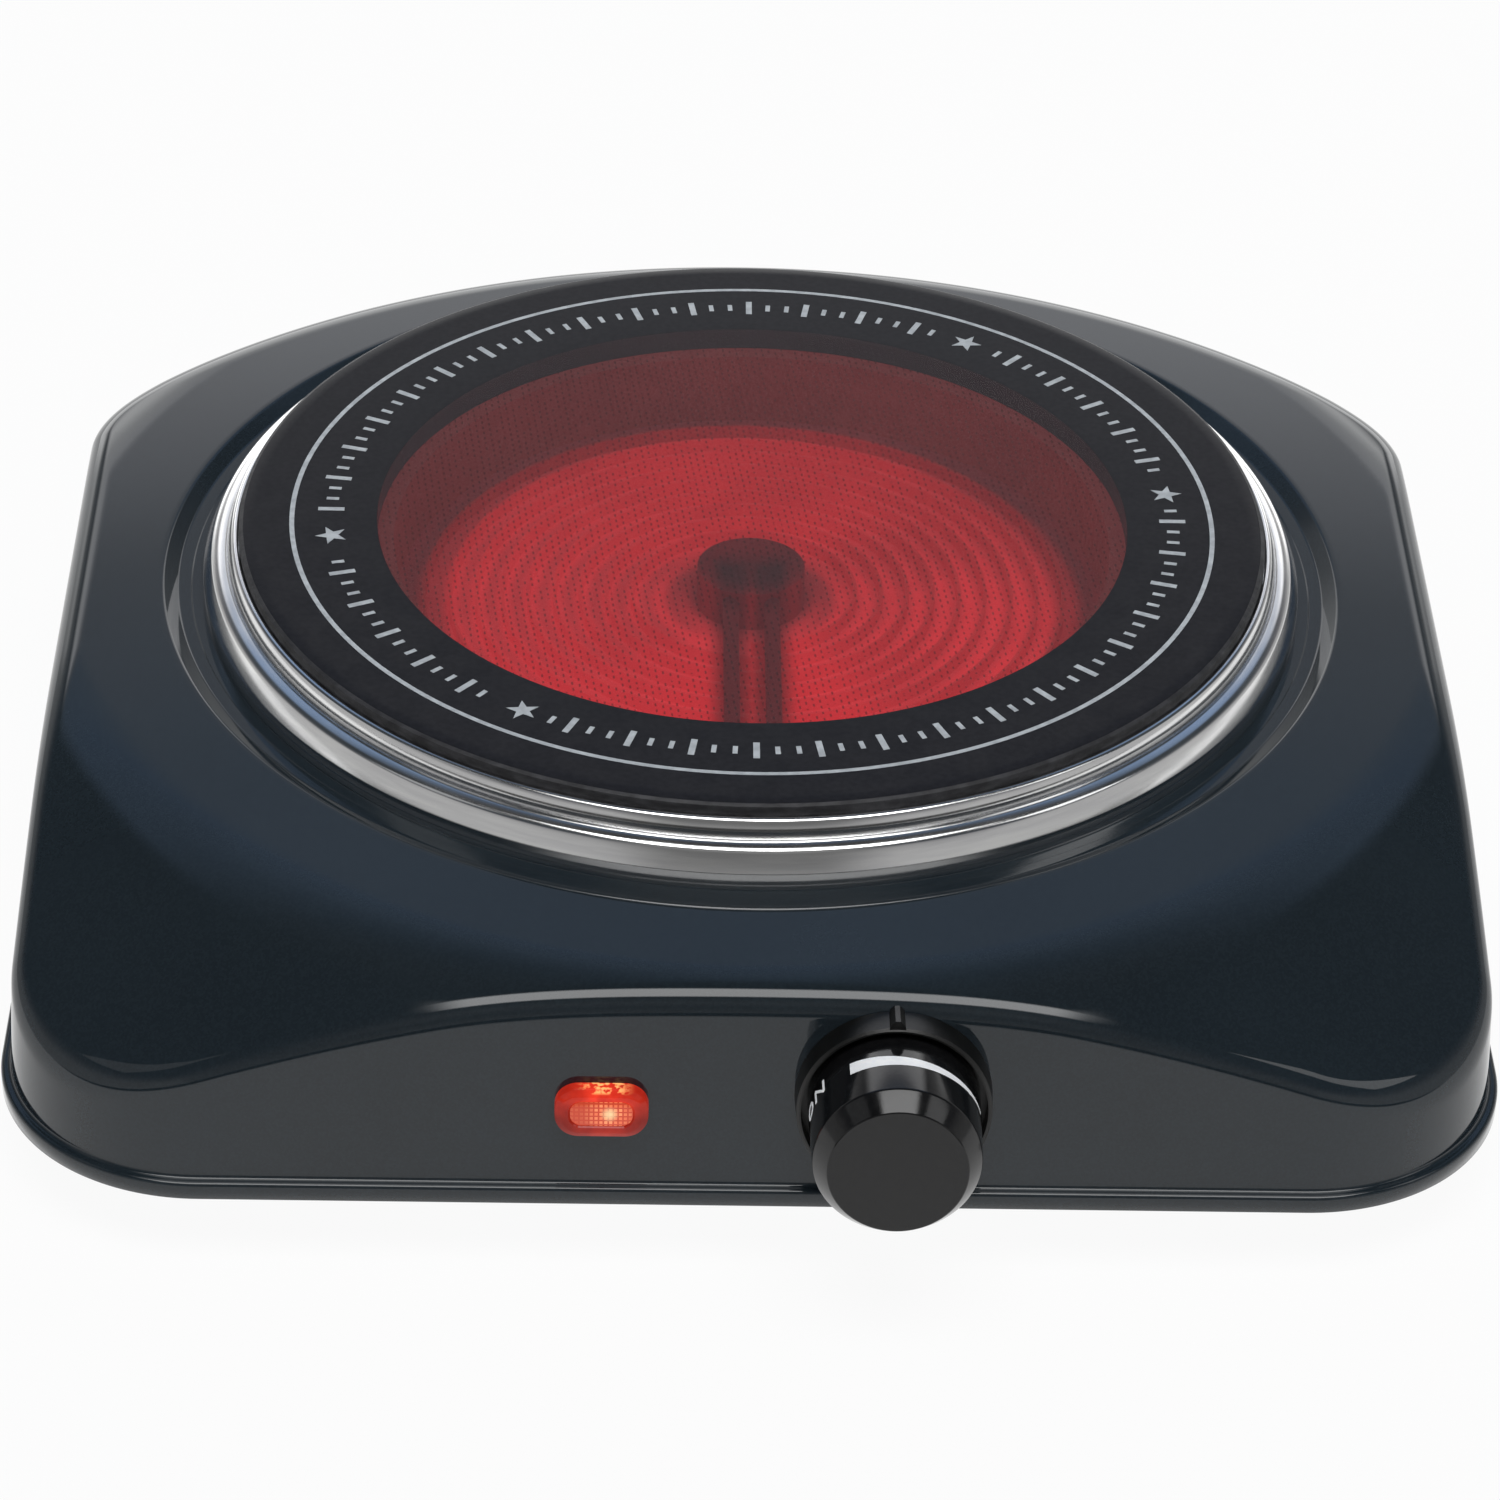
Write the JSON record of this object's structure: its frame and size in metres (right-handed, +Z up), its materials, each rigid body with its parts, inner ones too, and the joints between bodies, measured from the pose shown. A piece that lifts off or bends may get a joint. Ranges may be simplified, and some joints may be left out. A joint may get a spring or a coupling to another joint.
{
  "type": "hot plate burner",
  "caption": "Single countertop infrared hot plate with a round ceramic glass in a stepped bright ring, a pressed steel housing, a front power knob and an oval signal lamp",
  "frame": {"origin": "middle of the bounding box in plan, at the height of the surface the feet stand on", "axes": "+Z up through the glass, -Y out of the front panel with the knob, +X to the right seen from the front"},
  "size_m": [0.248, 0.2694, 0.062],
  "materials": {
    "housing_paint": "gloss",
    "zinc_sheet": "satin",
    "bright_ring": "polished",
    "ceramic_glass": "gloss",
    "seal_cord": "matt",
    "insulation": "matt",
    "heater_alloy": "oxidised",
    "rod_dark": "matt",
    "porcelain": "satin",
    "contact_brass": "satin",
    "screw_steel": "satin",
    "knob_black": "satin",
    "phenolic": "matt",
    "moulding_pale": "matt",
    "clip_black": "matt",
    "lens_red": "clear",
    "bulb_glass": "gloss",
    "foot_rubber": "matt",
    "wire_brown": "satin",
    "wire_red": "satin",
    "wire_blue": "satin",
    "wire_white": "satin",
    "wire_green": "satin"
  },
  "bodies": {
    "base": {"top_housing": "housing_paint", "base_plate": "zinc_sheet", "trim_ring": "bright_ring", "glass_seal": "seal_cord", "glass_plate": "ceramic_glass", "heater_dish": "zinc_sheet", "insulation_base": "insulation", "insulation_rim": "insulation", "heater_ribbon": "heater_alloy", "centre_block": "porcelain", "lead_rods": "rod_dark", "terminal_block": "porcelain", "heater_tabs": "contact_brass", "heat_shield": "zinc_sheet", "cross_bracket": "zinc_sheet", "dish_stud": "screw_steel", "dish_spacer": "screw_steel", "stud_nut": "screw_steel", "bracket_screws": "screw_steel", "bracket_nuts": "screw_steel", "knob_collar": "knob_black", "regulator_frame": "zinc_sheet", "regulator_nut": "screw_steel", "regulator_body": "porcelain", "regulator_cover": "phenolic", "regulator_tabs": "contact_brass", "lever_pin": "screw_steel", "fixed_contact": "contact_brass", "lamp_lens": "lens_red", "lamp_bulb": "bulb_glass", "lamp_body": "moulding_pale", "lamp_clips": "clip_black", "mains_terminal": "moulding_pale", "terminal_screws": "screw_steel", "cord_grommet": "foot_rubber", "earth_screw": "contact_brass", "earth_nut": "contact_brass", "earth_tag": "contact_brass", "live_wire": "wire_brown", "load_wire": "wire_red", "neutral_wire": "wire_blue", "lamp_wires": "wire_white", "earth_wire": "wire_green", "foot_front_left": "foot_rubber", "foot_front_right": "foot_rubber", "foot_back_left": "foot_rubber", "foot_back_right": "foot_rubber", "foot_screws": "screw_steel", "foot_nuts": "screw_steel", "base_screws": "screw_steel"},
    "turning_knob": {"knob": "knob_black", "knob_spring": "screw_steel", "regulator_shaft": "screw_steel", "regulator_cam": "moulding_pale"},
    "lever": {"contact_lever": "contact_brass"}
  },
  "joints": [
    {"name": "knob_turn", "type": "hinge", "parent": "base", "child": "turning_knob", "pos_m": [0.022, -0.11206, 0.0326], "axis": [0, -0.9969, 0.0785], "range_deg": [-80, 135]},
    {"name": "lever_rock", "type": "hinge", "parent": "base", "child": "lever", "pos_m": [0.01306, -0.11261, 0.02562], "axis": [0, -0.9969, 0.0785], "range_deg": [-8, 5]}
  ],
  "couplings": [
    {"joint": "lever_rock", "follows": "knob_turn", "ratio": -0.0571}
  ]
}
